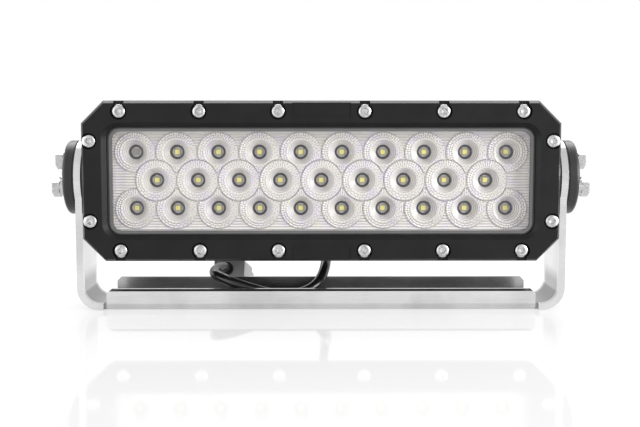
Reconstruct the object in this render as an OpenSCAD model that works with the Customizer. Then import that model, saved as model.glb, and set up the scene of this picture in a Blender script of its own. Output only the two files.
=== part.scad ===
// LED light bar on a U bracket.
// Origin: centre of the underside of the bracket's base, below the pivot axis.
// +X to the right seen from the front, +Y to the rear, +Z up. The lens faces -Y.

/* [Bracket] */
// Distance from the outside of one arm to the outside of the other
bracket_w = 366; // [364:0.5:372]
// Thickness of the bent plate
plate_t = 5; // [4:0.5:5]
// Depth of the strap, front to rear
strap_d = 48; // [44:1:54]
// Height of the pivot axis above the base
pivot_z = 98.9; // [98:0.1:110]
// Outer radius of the bend between base and arm
bend_r = 17; // [14:1:20]
// Radius of the round head of each arm
arm_head_r = 28.5; // [28:0.5:32]
// Height of the front stiffening flange
front_flange_h = 16; // [12:0.5:18]
// Height of the rear stiffening flange
rear_flange_h = 19; // [16:0.5:20]
// Diameter of the mounting holes in the base
base_hole_d = 10.5; // [8.5:0.5:12.5]
// Distance between the two outer mounting holes
base_hole_spacing = 220; // [180:5:260]

/* [Light head] */
// Width of the front bezel
bezel_w = 350; // [346:1:352]
// Height of the front bezel
bezel_h = 117.5; // [116:0.5:119]
// Distance from the pivot axis forward to the bezel's face
bezel_face = 39; // [38:0.5:40]
// Length of the bezel's corner chamfers
corner_cut = 16.5; // [12:0.5:20]
// Width of the lens that shows
window_w = 306; // [304:1:307]
// Height of the lens that shows
window_h = 72.8; // [70:0.1:73]
// Distance between neighbouring lamps in a row
led_pitch = 30.7; // [29.5:0.1:30.8]
// Distance between rows of lamps
row_pitch = 21; // [20:0.1:21]
// Distance of the light head's centre below the pivot axis
head_drop = 1.3; // [0:0.1:2]
// Number of lamps in the longer rows
long_row = 10; // [8:1:10]

/* [Pivot] */
// Diameter of the pivot disc
disc_d = 56; // [54:1:58]
// Diameter of the spigot that turns in the arm
spigot_d = 39.9; // [39.88:0.01:39.94]
// Diameter of the bore in the arm
arm_bore_d = 40; // [40:0.01:40.02]
// Radius of the circle of pivot bolts
pivot_bolt_circle = 13.5; // [13:0.1:13.8]

/* [Cable] */
// Diameter of the supply cable
cable_d = 8; // [7:0.1:8.2]

/* [Hidden] */
$fn = 48;
eps = 0.01;

// Depths from the pivot axis, from the front to the rear
bezel_y = -bezel_face;
ledge_y = bezel_y + 6;
lens_y = ledge_y + 1;
lens_t = 4;
seat_y = bezel_y + 10;
seal_y = lens_y + lens_t;
shelf_y = seal_y + 1.5;
optic_y = bezel_y + 14;
board_y = bezel_y + 23;
floor_y = bezel_y + 25;
web_y = floor_y + 6;
flange_back_y = seat_y + 12;
cover_y = 30;
cover_t = 3;

// Flanges: outer radius of their bend, bevel of their top edge, and the relief cut past their ends
flange_bend_r = 5.3;
flange_edge_cut = 1.6;
flange_half_w = 161;
relief_w = 2.5;

// Front frame: its bevelled edge, screw pockets and the plain panels top and bottom
bevel = 2;
bevel_depth = 4;
opening_w = window_w + 7.5;
opening_h = window_h + 6;
opening_r = 9;
opening_slope = 3.3;
plaque_w = 43;
plaque_z = 47;
plaque_depth = 0.9;
bezel_rows_x = [-147, -89, -31.5, 31.5, 89, 147];
bezel_row_z = 50.8;
bezel_side_x = 169;
bezel_side_z = 29.3;
bezel_screw_at = concat(
    [for (x = bezel_rows_x, s = [-1, 1]) [x, s * bezel_row_z]],
    [for (sx = [-1, 1], sz = [-1, 1]) [sx * bezel_side_x, sz * bezel_side_z]]
);
pocket_r = 5.95;
screw_hole_r = 3.3;
pocket_depth = 3.6;
notch_w = 7.4;
lens_w = window_w + 17;
lens_h = window_h + 17;
lens_r = 13.5;
recess_w = window_w + 6;
recess_h = window_h + 6;
window_r = 6;
recess_r = 9;

// Lamps: long rows above and below, a shorter row between
short_row = long_row - 1;
led_at = concat(
    [for (i = [0 : long_row - 1], s = [-1, 1]) [(i - (long_row - 1) / 2) * led_pitch, s * row_pitch]],
    [for (i = [0 : short_row - 1]) [(i - (short_row - 1) / 2) * led_pitch, 0]]
);
optic_hole_r = 5.3;
optic_front_r = 12.6;
optic_back_r = 7.2;
optic_plate_t = 2.5;
board_t = 1.6;
chip_side = 3.4;
board_screw_at = concat(
    [for (sx = [-1, 1], sz = [-1, 1]) [sx * 4 * led_pitch, sz * 15.9]],
    [for (sx = [-1, 1]) [sx * 4.6 * led_pitch, 0]]
);

// Housing
shell_w = 322;
shell_h = 88;
fin_pitch = 9.6;
fin_t = 2.6;
fin_count = 33;
driver_w = 124;
driver_h = 78;
driver_wall = 5;
boss_x = bracket_w / 2 - plate_t - 2;
boss_r = 28;
side_thread_depth = 14;
cover_w = driver_w + 4;
cover_h = driver_h + 4;
cover_screw_at = concat(
    [for (sx = [-1, 1], sz = [-1, 1]) [sx * 58.5, sz * 35.5]],
    [for (sx = [-1, 1]) [sx * 58.5, 0]],
    [for (sz = [-1, 1]) [0, sz * 35.5]]
);

// Driver board
driver_board_y = 6;
driver_board_w = 96;
driver_board_h = 52;
driver_board_t = 1.6;
driver_top_y = driver_board_y + driver_board_t;
standoff_at = [for (sx = [-1, 1], sz = [-1, 1]) [sx * 43, sz * 21]];
lead_hole = [-46, 0];
terminal_at = [-26, -15];
terminal_h = 11;
lead_y = driver_top_y + 5;
lead_bend = 4;

// Cable gland and vent on the rear cover
gland_x = 0;
gland_z = -17.6;
gland_at = [gland_x, gland_z];
gland_y = cover_y + cover_t;
boot_end_y = gland_y + 30;
cable_hole_r = cable_d / 2 + 0.05;
vent_x = -38;
vent_z = 12;

// Pivot stack, measured outwards along X
arm_x = bracket_w / 2;
washer_gap = 0.05;
outer_washer_t = 1.45;
disc_x0 = arm_x + washer_gap + outer_washer_t;
disc_t = 7.4;
disc_round = 2.6;
flat_washer_t = 1.8;
spring_washer_t = 2.2;
bolt_head_h = 5.5;
bolt_head_af = 13;
bolt_r = 3.9;
bolt_hole_r = 4.25;
thread_r = 4;
bolt_angles = [90, 210, 330];

// Supply cable: hand-chosen points from the boot on the gland to the connector's seal
cable_route = [
    [0, 63.2, 80], [0, 72, 80], [1, 80.8, 76.9], [2.2, 87.4, 69.2], [3.3, 89.8, 59],
    [4.3, 87.2, 48.8], [5, 80, 41.2], [5.3, 69.8, 37.2], [5.3, 58, 35.6], [5.2, 46, 35],
    [5, 34.5, 34.3], [4.3, 24, 32.2], [3.6, 17, 29.2], [2.4, 10.5, 25.3], [0.2, 5, 20.9],
    [-3, 0.5, 16.8], [-7.8, -3, 13.4], [-14, -5.5, 10.8], [-22.5, -7.5, 9.3], [-31, -9, 9.2],
    [-40, -10.5, 10.8], [-49, -11.5, 13.3], [-59, -12, 16.4], [-67.2, -11.3, 19.2],
    [-74.3, -8, 21.6], [-79.8, -3.2, 23.4], [-82.7, 4, 24.8], [-82.2, 12, 25.7],
    [-79.4, 20, 26.1], [-76.9, 27, 25.4], [-76.2, 33, 23.5]
];
cable_sides = 12;

// Connector: lies behind the rear flange, its tail on the floor
plug_at = [-76.2, 33, 23.5];
plug_tilt = 17.4;
plug_turn = 7;
plug_w = 25;
plug_h = 17;
plug_body_l = 34;
plug_nose_l = 22;
plug_nose_w = 20;
plug_nose_h = 13;
plug_seal_l = 5;
seal_proud = 1.5;
seal_gap = 0.05;
plug_seal_r = 5.6;
plug_shift = 2.2;

black = [0.09, 0.09, 0.1];
steel = [0.78, 0.78, 0.8];

// ---------- helpers ----------

// Extrudes a flat X-Z outline from depth y0 to depth y1
module slab(y0, y1) {
    translate([0, y1, 0])
        rotate([90, 0, 0])
            linear_extrude(y1 - y0)
                children();
}

// Rectangle with round corners, centred
module round_rect(w, h, r) {
    square([w - 2 * r, h], center = true);
    square([w, h - 2 * r], center = true);
    for (sx = [-1, 1], sy = [-1, 1])
        translate([sx * (w / 2 - r), sy * (h / 2 - r)])
            circle(r);
}

// Rectangle with cut corners, centred
module cut_rect(w, h, c) {
    polygon([
        [c - w / 2, -h / 2], [w / 2 - c, -h / 2], [w / 2, c - h / 2], [w / 2, h / 2 - c],
        [w / 2 - c, h / 2], [c - w / 2, h / 2], [-w / 2, h / 2 - c], [-w / 2, c - h / 2]
    ]);
}

// Cylinder along Y from y0 to y1 at a place given as [x, z]
module rod_y(at, r, y0, y1, r2 = 0) {
    translate([at[0], y1, at[1]])
        rotate([90, 0, 0])
            cylinder(h = y1 - y0, r1 = r2 > 0 ? r2 : r, r2 = r);
}

// Cylinder along X from x0 to x1 at a place given as [y, z]
module rod_x(at, r, x0, x1) {
    translate([x0, at[0], at[1]])
        rotate([0, 90, 0])
            cylinder(h = x1 - x0, r = r);
}

// Lifts parts centred on the pivot axis to their place
module at_pivot() {
    translate([0, 0, pivot_z])
        children();
}

// Lifts parts centred on the light head to their place
module at_head() {
    translate([0, 0, pivot_z - head_drop])
        children();
}

// Draws the children on the right, or mirrored on the left
module on_side(side) {
    mirror([side < 0 ? 1 : 0, 0, 0])
        at_pivot()
            children();
}

// ---------- bracket ----------

// Half of the bent strap seen from the front: base, bend and arm
module strap_side() {
    translate([arm_x - bend_r, 0, bend_r])
        rotate([90, 0, 0])
            rotate_extrude(angle = 90, start = -90)
                translate([bend_r - plate_t, -strap_d / 2])
                    square([plate_t, strap_d]);
    translate([arm_x - plate_t, -strap_d / 2, bend_r])
        cube([plate_t, strap_d, pivot_z - bend_r]);
    rod_x([0, pivot_z], arm_head_r, arm_x - plate_t, arm_x);
}

// Formed flange along the strap's edge: a bend and an upright, its top corners cut
module flange(side, height, half_w, corner) {
    bend = flange_bend_r;
    mirror([0, side < 0 ? 0 : 1, 0])
        intersection() {
            translate([-half_w, 0, 0])
                rotate([90, 0, 90])
                    linear_extrude(2 * half_w)
                        union() {
                            translate([-strap_d / 2, 0])
                                polygon([
                                    [0, bend], [plate_t, bend], [plate_t, height],
                                    [flange_edge_cut, height], [0, height - flange_edge_cut]
                                ]);
                            translate([bend - strap_d / 2, bend])
                                intersection() {
                                    difference() {
                                        circle(bend);
                                        circle(bend - plate_t);
                                    }
                                    translate([-bend, -bend])
                                        square(bend);
                                }
                        }
            slab(-strap_d, 0)
                polygon([
                    [-half_w, -1], [half_w, -1], [half_w, height - corner],
                    [half_w - corner, height], [corner - half_w, height], [-half_w, height - corner]
                ]);
        }
}

// Base plate between the flanges' bends, full depth beyond their ends
module base_plate() {
    relief_half = flange_half_w + relief_w;
    difference() {
        translate([bend_r - arm_x, -strap_d / 2, 0])
            cube([bracket_w - 2 * bend_r, strap_d, plate_t]);
        for (edge = [0, 1])
            mirror([0, edge, 0])
                translate([-relief_half, strap_d / 2 - flange_bend_r, -1])
                    cube([2 * relief_half, flange_bend_r + 1, plate_t + 2]);
    }
}

module bracket() {
    color(steel)
        difference() {
            union() {
                base_plate();
                strap_side();
                mirror([1, 0, 0])
                    strap_side();
                flange(-1, front_flange_h, flange_half_w, 3.5);
                flange(1, rear_flange_h, flange_half_w, 3);
            }
            for (s = [-1, 1])
                translate([s * arm_x, 0, pivot_z])
                    rotate([0, 90, 0])
                        cylinder(h = 4 * plate_t, d = arm_bore_d, center = true);
            for (x = [-base_hole_spacing / 2, 0, base_hole_spacing / 2])
                translate([x, 0, -1])
                    cylinder(h = plate_t + 2, d = base_hole_d);
        }
}

// ---------- cable ----------

function unit(v) = v / norm(v);
function route_dir(i) = unit(
    cable_route[min(i + 1, len(cable_route) - 1)] - cable_route[max(i - 1, 0)]
);
function side_dir(i) = unit(cross(route_dir(i), abs(route_dir(i)[0]) < 0.9 ? [1, 0, 0] : [0, 0, 1]));
function turned(prev, d) = unit(prev - d * (prev * d));
function frames(i) = i == 0 ? [side_dir(0)] : let (before = frames(i - 1))
    concat(before, [turned(before[i - 1], route_dir(i))]);
function ring(i, side) = [
    for (k = [0 : cable_sides - 1])
        cable_route[i] + cable_d / 2
            * (cos(360 * k / cable_sides) * side + sin(360 * k / cable_sides) * cross(route_dir(i), side))
];

module cable() {
    last = len(cable_route) - 1;
    sides = frames(last);
    points = [for (i = [0 : last]) each ring(i, sides[i])];
    walls = [
        for (i = [0 : last - 1], k = [0 : cable_sides - 1])
            let (n = cable_sides, a = i * n, b = (k + 1) % n)
                [a + k, a + n + k, a + n + b, a + b]
    ];
    ends = [
        [for (k = [0 : cable_sides - 1]) k],
        [for (k = [cable_sides - 1 : -1 : 0]) last * cable_sides + k]
    ];
    color(black)
        polyhedron(points, concat(walls, ends));
}

// ---------- connector, drawn along +Y from its cable end ----------

module at_plug() {
    translate(plug_at)
        rotate([-plug_tilt, 0, -plug_turn])
            translate([0, seal_proud + seal_gap, 0])
                children();
}

module connector_body() {
    color([0.55, 0.56, 0.57])
        at_plug()
            difference() {
                translate([plug_shift, 0, 0]) {
                    slab(0, plug_body_l)
                        round_rect(plug_w, plug_h, 3);
                    slab(plug_body_l, plug_body_l + plug_nose_l)
                        round_rect(plug_nose_w, plug_nose_h, 2.5);
                    slab(9, plug_body_l - 2)
                        translate([0, plug_h / 2 + 0.6])
                            square([9, 1.8], center = true);
                }
                rod_y([0, 0], plug_seal_r, -1, plug_seal_l);
                rod_y([0, 0], 3, plug_seal_l - 1, plug_body_l);
                for (s = [-1, 1])
                    rod_y([plug_shift + s * 3.5, 0], 1.5, plug_body_l - 1, plug_body_l + plug_nose_l + 1);
                slab(plug_body_l + plug_nose_l - 5, plug_body_l + plug_nose_l + 1)
                    translate([plug_shift, 0])
                        square([14, 7], center = true);
            }
}

module connector_cable_seal() {
    color(black)
        at_plug()
            difference() {
                rod_y([0, 0], plug_seal_r, -seal_proud, plug_seal_l);
                rod_y([0, 0], 1.6, 0, plug_seal_l + 1);
            }
}

module connector_interface_seal() {
    color([0.75, 0.3, 0.1])
        at_plug()
            slab(plug_body_l, plug_body_l + 3)
                translate([plug_shift, 0])
                    difference() {
                        round_rect(plug_nose_w + 3, plug_nose_h + 3, 3.5);
                        round_rect(plug_nose_w, plug_nose_h, 2.5);
                    }
}

module connector_wedge() {
    color([0.85, 0.4, 0.1])
        at_plug()
            slab(plug_body_l + plug_nose_l - 5, plug_body_l + plug_nose_l)
                translate([plug_shift, 0])
                    difference() {
                        square([14, 7], center = true);
                        for (s = [-1, 1])
                            translate([s * 3.5, 0])
                                circle(1.5);
                    }
}

module connector_terminals() {
    color([0.8, 0.65, 0.3])
        at_plug()
            for (s = [-1, 1])
                rod_y([plug_shift + s * 3.5, 0], 1.4, plug_body_l - 0.5, plug_body_l + plug_nose_l - 1);
}

// ---------- bezel and lens ----------

// Ring of outline thickness between two round rectangles of the same centre
module round_frame(w, h, r, inner_w, inner_h, inner_r) {
    difference() {
        round_rect(w, h, r);
        round_rect(inner_w, inner_h, inner_r);
    }
}

module bezel() {
    color([0.14, 0.14, 0.15])
        at_head()
            difference() {
                hull() {
                    slab(bezel_y + bevel_depth, seat_y)
                        cut_rect(bezel_w, bezel_h, corner_cut);
                    slab(bezel_y, bezel_y + eps)
                        cut_rect(bezel_w - 2 * bevel, bezel_h - 2 * bevel, corner_cut - 0.6 * bevel);
                }
                slab(bezel_y - 1, seat_y + 1)
                    round_rect(opening_w, opening_h, opening_r);
                hull() {
                    slab(bezel_y - 0.2, bezel_y)
                        round_rect(opening_w + 2 * opening_slope, opening_h + 2 * opening_slope,
                            opening_r + opening_slope);
                    slab(bezel_y + opening_slope, bezel_y + opening_slope + eps)
                        round_rect(opening_w, opening_h, opening_r);
                }
                slab(ledge_y, seat_y + 1)
                    round_rect(lens_w + 1, lens_h + 1, lens_r + 0.5);
                for (p = bezel_screw_at) {
                    rod_y(p, screw_hole_r, bezel_y, seat_y + 1);
                    rod_y(p, pocket_r, bezel_y - 1, bezel_y + pocket_depth);
                }
                for (x = bezel_rows_x, s = [-1, 1])
                    slab(bezel_y - 1, bezel_y + pocket_depth)
                        translate([x - notch_w / 2, s > 0 ? bezel_row_z : -bezel_h / 2 - 1])
                            square([notch_w, bezel_h / 2 + 1 - bezel_row_z]);
                for (s = [-1, 1])
                    slab(bezel_y - 1, bezel_y + plaque_depth)
                        translate([-plaque_w / 2, s > 0 ? plaque_z : -bezel_h / 2 - 1])
                            square([plaque_w, bezel_h / 2 + 1 - plaque_z]);
            }
}

// Button-head screw with a hexagon socket, along Y, its head's seat at y0
module button_screw(at, y0, shaft_r, shaft_l, head_r, head_h, socket_r) {
    difference() {
        union() {
            rod_y(at, shaft_r, y0, y0 + shaft_l);
            rod_y(at, head_r, y0 - 0.35 * head_h, y0);
            rod_y(at, 0.72 * head_r, y0 - head_h, y0 - 0.35 * head_h, r2 = head_r);
        }
        translate([at[0], y0 - head_h - 1, at[1]])
            rotate([-90, 0, 0])
                cylinder(h = 1 + 0.65 * head_h, r = socket_r, $fn = 6);
    }
}

module bezel_screws() {
    color(steel)
        at_head()
            for (p = bezel_screw_at)
                button_screw(p, bezel_y + pocket_depth, 2.9, 16, 5.25, 3.3, 2.3);
}

module lens_gasket() {
    color([0.32, 0.32, 0.34])
        at_head() {
            slab(ledge_y, lens_y)
                round_frame(lens_w, lens_h, lens_r, window_w, window_h, window_r);
            slab(ledge_y - 2.2, ledge_y)
                round_frame(window_w + 4, window_h + 4, window_r + 2, window_w, window_h, window_r);
        }
}

module lens_cover() {
    color([0.85, 0.88, 0.92, 0.4])
        at_head()
            slab(lens_y, seal_y)
                round_rect(lens_w, lens_h, lens_r);
}

module housing_seal() {
    color([0.2, 0.2, 0.22])
        at_head()
            slab(seal_y, shelf_y)
                round_frame(lens_w, lens_h, lens_r, recess_w, recess_h, recess_r);
}

// ---------- optics and lamps ----------

module optic_panel() {
    plate_back_y = optic_y + optic_plate_t;
    color([0.8, 0.82, 0.86, 0.8])
        at_head()
            difference() {
                union() {
                    slab(optic_y, plate_back_y)
                        round_rect(recess_w - 1, recess_h - 2, recess_r - 1);
                    for (p = led_at)
                        rod_y(p, optic_front_r, plate_back_y, board_y, r2 = optic_back_r);
                }
                for (p = led_at)
                    rod_y(p, optic_hole_r, optic_y - 1, board_y + 1);
            }
}

module led_board() {
    color([0.9, 0.9, 0.88])
        at_head()
            slab(board_y, board_y + board_t)
                difference() {
                    round_rect(window_w + 1, window_h + 1, window_r);
                    for (p = board_screw_at)
                        translate(p)
                            circle(1.7);
                    translate(lead_hole)
                        circle(4);
                }
}

module led_packages() {
    color([0.93, 0.92, 0.86])
        at_head()
            for (p = led_at)
                slab(board_y - 0.8, board_y)
                    translate(p)
                        square([5, 5], center = true);
}

module led_chips() {
    color([0.95, 0.8, 0.2])
        at_head()
            for (p = led_at)
                slab(board_y - 1.5, board_y - 0.8)
                    translate(p)
                        square(chip_side, center = true);
}

module led_board_screws() {
    color(steel)
        at_head()
            for (p = board_screw_at)
                button_screw(p, board_y, 1.45, 5.5, 2.7, 1, 0.9);
}

module thermal_pad() {
    color([0.55, 0.6, 0.7])
        at_head()
            slab(board_y + board_t, floor_y)
                difference() {
                    round_rect(window_w, window_h, window_r);
                    for (p = board_screw_at)
                        translate(p)
                            circle(1.7);
                    translate(lead_hole)
                        circle(4);
                }
}

// ---------- housing ----------

// Outline of one cooling fin seen from the side, as [y, z] points
module fin_outline() {
    polygon([
        [flange_back_y - 1, -53], [web_y, -53], [8, -50], [22, -44], [cover_y - 3, -39],
        [cover_y - 1, -34], [cover_y - 1, 34], [cover_y - 3, 39], [22, 44], [8, 50],
        [web_y, 53], [flange_back_y - 1, 53]
    ]);
}

module fin(x) {
    translate([x - fin_t / 2, 0, 0])
        rotate([90, 0, 90])
            linear_extrude(fin_t)
                fin_outline();
}

module housing_body() {
    slab(seat_y, flange_back_y)
        cut_rect(bezel_w - 2, bezel_h - 2, corner_cut);
    slab(flange_back_y - 1, web_y)
        round_rect(shell_w, shell_h, 8);
    for (i = [0 : fin_count - 1])
        fin((i - (fin_count - 1) / 2) * fin_pitch);
    slab(web_y - 1, cover_y)
        round_rect(driver_w, driver_h, 6);
    for (s = [-1, 1])
        rod_x([0, head_drop], boss_r, s > 0 ? shell_w / 2 - 8 : -boss_x, s > 0 ? boss_x : 8 - shell_w / 2);
}

module housing() {
    color([0.12, 0.12, 0.13])
        at_head()
            difference() {
                housing_body();
                slab(seat_y - 1, shelf_y)
                    round_rect(lens_w + 1, lens_h + 1, lens_r + 0.5);
                slab(shelf_y - 1, floor_y)
                    round_rect(recess_w, recess_h, recess_r);
                slab(web_y, cover_y + 1)
                    round_rect(driver_w - 2 * driver_wall - 6, driver_h - 2 * driver_wall - 4, 4);
                for (p = bezel_screw_at)
                    rod_y(p, 3, seat_y - 1, flange_back_y - 0.8);
                for (p = board_screw_at)
                    rod_y(p, 1.5, floor_y - 1, web_y - 1.5);
                for (p = standoff_at)
                    rod_y(p, 1.5, web_y - 4.5, web_y + 1);
                for (p = cover_screw_at)
                    rod_y(p, 1.65, cover_y - 9, cover_y + 1);
                rod_y(lead_hole, 4, floor_y - 1, web_y + 1);
                for (s = [-1, 1], a = bolt_angles)
                    rod_x([0, head_drop] + pivot_bolt_circle * [cos(a), sin(a)], thread_r,
                        s > 0 ? boss_x - side_thread_depth : -boss_x - 1,
                        s > 0 ? boss_x + 1 : side_thread_depth - boss_x);
            }
}

// ---------- driver ----------

module driver_board() {
    color([0.1, 0.35, 0.18])
        at_head()
            slab(driver_board_y, driver_top_y)
                difference() {
                    square([driver_board_w, driver_board_h], center = true);
                    for (p = standoff_at)
                        translate(p)
                            circle(1.6);
                }
}

module driver_standoffs() {
    color([0.8, 0.66, 0.35])
        at_head()
            for (p = standoff_at)
                difference() {
                    translate([p[0], driver_board_y, p[1]])
                        rotate([90, 0, 0])
                            cylinder(h = driver_board_y - web_y, r = 3, $fn = 6);
                    rod_y(p, 1.5, web_y - 1, driver_board_y + 1);
                }
}

module driver_screws() {
    color(steel)
        at_head()
            mirror([0, 1, 0])
                for (p = standoff_at)
                    button_screw(p, -driver_top_y, 1.4, 18, 2.8, 1.6, 1);
}

module driver_inductors() {
    color([0.25, 0.25, 0.27])
        at_head()
            for (z = [-1, 1])
                difference() {
                    slab(driver_top_y, driver_top_y + 8)
                        translate([24, 11 * z])
                            round_rect(14, 14, 2);
                    slab(driver_top_y + 6.5, driver_top_y + 9)
                        translate([24, 11 * z])
                            difference() {
                                circle(5.5);
                                circle(3.5);
                            }
                }
}

module driver_capacitors() {
    color([0.2, 0.22, 0.35])
        at_head()
            for (i = [0 : 2])
                rod_y([-4, -8 + 12 * i], 4.8, driver_top_y, driver_top_y + 13);
}

module driver_transistors() {
    color([0.15, 0.15, 0.15])
        at_head()
            for (i = [0 : 3])
                slab(driver_top_y, driver_top_y + 2.3)
                    translate([9.5, -18 + 12 * i])
                        square([8, 7], center = true);
}

module driver_terminal() {
    color([0.2, 0.5, 0.25])
        at_head()
            difference() {
                slab(driver_top_y, driver_top_y + terminal_h)
                    translate(terminal_at)
                        square([9, 20], center = true);
                for (z = [-7.5, -2.5, 2.5, 7.5])
                    rod_y([terminal_at[0], terminal_at[1] + z], 1.6, driver_top_y + 7, driver_top_y + 13);
            }
}

// Round lead with one bend: straight along Y from a start, then across X
module bent_lead(x, y, z, run_y, run_x, r) {
    rod_y([x, z], r, y, y + run_y);
    translate([x - lead_bend, y + run_y, z])
        rotate_extrude(angle = 90)
            translate([lead_bend, 0])
                circle(r);
    rod_x([y + run_y + lead_bend, z], r, x - lead_bend - run_x, x - lead_bend);
}

module power_leads() {
    from_y = cover_y - 4;
    color([0.6, 0.1, 0.1])
        at_head()
            for (z = [-1, 1])
                mirror([0, 1, 0])
                    bent_lead(gland_x, -from_y, gland_z + 1.6 * z, from_y - lead_y - lead_bend,
                        gland_x - terminal_at[0] - 4.5 - lead_bend, 1.3);
}

module board_leads() {
    color([0.7, 0.7, 0.1])
        at_head()
            for (s = [-1, 1])
                rod_y([lead_hole[0] + 1.2 * s, lead_hole[1]], 0.9, board_y, driver_board_y);
}

module lead_grommet() {
    color(black)
        at_head()
            difference() {
                rod_y(lead_hole, 4, floor_y, web_y + 1.5);
                for (s = [-1, 1])
                    rod_y([lead_hole[0] + 1.2 * s, lead_hole[1]], 1, floor_y - 1, web_y + 2);
            }
}

// ---------- rear cover, gland and vent ----------

module rear_cover() {
    color([0.13, 0.13, 0.14])
        at_head()
            difference() {
                slab(cover_y + 0.8, cover_y + cover_t)
                    round_rect(cover_w, cover_h, 8);
                for (p = cover_screw_at)
                    rod_y(p, 2.2, cover_y, cover_y + cover_t + 1);
                rod_y(gland_at, 8, cover_y, cover_y + cover_t + 1);
                rod_y([vent_x, vent_z], 4, cover_y, cover_y + cover_t + 1);
            }
}

module rear_cover_gasket() {
    color([0.25, 0.25, 0.25])
        at_head()
            difference() {
                slab(cover_y, cover_y + 0.8)
                    round_frame(driver_w, driver_h, 6, driver_w - 16, driver_h - 14, 4);
                for (p = cover_screw_at)
                    rod_y(p, 2.2, cover_y - 1, cover_y + 2);
            }
}

module rear_cover_screws() {
    color(steel)
        at_head()
            mirror([0, 1, 0])
                for (p = cover_screw_at)
                    button_screw(p, -cover_y - cover_t, 1.6, 10, 3.8, 2.2, 1.45);
}

// Hexagonal prism along Y, its flats across given
module hex_y(at, flats, y0, y1) {
    translate([at[0], y1, at[1]])
        rotate([90, 0, 0])
            cylinder(h = y1 - y0, r = flats / sqrt(3), $fn = 6);
}

module gland_body() {
    color([0.16, 0.16, 0.17])
        at_head()
            difference() {
                union() {
                    rod_y(gland_at, 7.9, cover_y - 5, gland_y);
                    hex_y(gland_at, 20, gland_y, gland_y + 5);
                    rod_y(gland_at, 7.5, gland_y + 5, gland_y + 11);
                }
                rod_y(gland_at, 5.6, cover_y - 6, gland_y + 12);
            }
}

module gland_locknut() {
    color([0.7, 0.7, 0.68])
        at_head()
            difference() {
                hex_y(gland_at, 20, cover_y - 3.2, cover_y + 0.8);
                rod_y(gland_at, 8, cover_y - 4, cover_y + 1);
            }
}

module gland_seal() {
    color([0.3, 0.3, 0.3])
        at_head()
            difference() {
                rod_y(gland_at, 5.5, gland_y + 2, gland_y + 11);
                rod_y(gland_at, cable_hole_r, gland_y, gland_y + 12);
            }
}

module gland_nut() {
    color([0.16, 0.16, 0.17])
        at_head()
            difference() {
                union() {
                    hex_y(gland_at, 19, gland_y + 5.3, gland_y + 11.5);
                    rod_y(gland_at, 9.2, gland_y + 11.5, gland_y + 15, r2 = 7);
                }
                rod_y(gland_at, 7.6, gland_y + 5, gland_y + 11.2);
                rod_y(gland_at, 5, gland_y + 11, gland_y + 16);
            }
}

module gland_boot() {
    color(black)
        at_head()
            difference() {
                union() {
                    rod_y(gland_at, 4.9, gland_y + 11.5, gland_y + 15);
                    rod_y(gland_at, 6.4, gland_y + 15, boot_end_y, r2 = 4.5);
                }
                rod_y(gland_at, cable_hole_r, gland_y + 11, boot_end_y + 1);
            }
}

// The jacketed end of the cable inside the gland and the boot
module cable_inner_end() {
    color(black)
        at_head()
            rod_y(gland_at, cable_d / 2, cover_y - 4, boot_end_y);
}

module vent_plug() {
    at = [vent_x, vent_z];
    color([0.2, 0.2, 0.2])
        at_head()
            difference() {
                union() {
                    rod_y(at, 3.9, cover_y - 2, gland_y);
                    rod_y(at, 7.5, gland_y, gland_y + 3.5);
                    rod_y(at, 7.5, gland_y + 3.5, gland_y + 5, r2 = 6.4);
                }
                for (a = [0 : 60 : 300])
                    rod_y([at[0] + 4.4 * cos(a), at[1] + 4.4 * sin(a)], 0.8, gland_y + 3, gland_y + 6);
                rod_y(at, 1.5, cover_y - 3, gland_y + 2);
            }
}

// ---------- pivot, drawn on the right and mirrored to the left ----------

module pivot_disc(side) {
    color([0.11, 0.11, 0.12])
        on_side(side)
            difference() {
                rotate([0, 90, 0])
                    rotate_extrude()
                        union() {
                            translate([0, boss_x])
                                square([spigot_d / 2, disc_x0 - boss_x]);
                            translate([0, disc_x0])
                                square([disc_d / 2, disc_t - disc_round]);
                            translate([0, disc_x0])
                                square([disc_d / 2 - disc_round, disc_t]);
                            translate([disc_d / 2 - disc_round, disc_x0 + disc_t - disc_round])
                                circle(disc_round);
                        }
                for (a = bolt_angles)
                    rod_x(pivot_bolt_circle * [cos(a), sin(a)], bolt_hole_r,
                        boss_x - 1, disc_x0 + disc_t + 1);
            }
}

module pivot_washers(side, x0, thickness, r, hole_r) {
    color(steel)
        on_side(side)
            for (a = bolt_angles)
                difference() {
                    rod_x(pivot_bolt_circle * [cos(a), sin(a)], r, x0, x0 + thickness);
                    rod_x(pivot_bolt_circle * [cos(a), sin(a)], hole_r, x0 - 1, x0 + thickness + 1);
                }
}

module flat_washers(side) {
    pivot_washers(side, disc_x0 + disc_t, flat_washer_t, 8, 4.2);
}

module spring_washers(side) {
    x0 = disc_x0 + disc_t + flat_washer_t;
    difference() {
        pivot_washers(side, x0, spring_washer_t, 6.6, 4.1);
        on_side(side)
            for (a = bolt_angles)
                translate([x0 - 1, pivot_bolt_circle * cos(a) + 4, pivot_bolt_circle * sin(a) - 0.3])
                    cube([spring_washer_t + 2, 4, 0.6]);
    }
}

module pivot_bolts(side) {
    head_x = disc_x0 + disc_t + flat_washer_t + spring_washer_t;
    color(steel)
        on_side(side)
            for (a = bolt_angles)
                translate([0, pivot_bolt_circle * cos(a), pivot_bolt_circle * sin(a)]) {
                    rod_x([0, 0], bolt_r, boss_x - side_thread_depth + 1, head_x);
                    intersection() {
                        translate([head_x, 0, 0])
                            rotate([0, 90, 0])
                                cylinder(h = bolt_head_h, r = bolt_head_af / sqrt(3), $fn = 6);
                        translate([head_x, 0, 0])
                            rotate([0, 90, 0])
                                cylinder(h = bolt_head_h + 3,
                                    r1 = bolt_head_af * 0.75, r2 = bolt_head_af * 0.45);
                    }
                }
}

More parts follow.
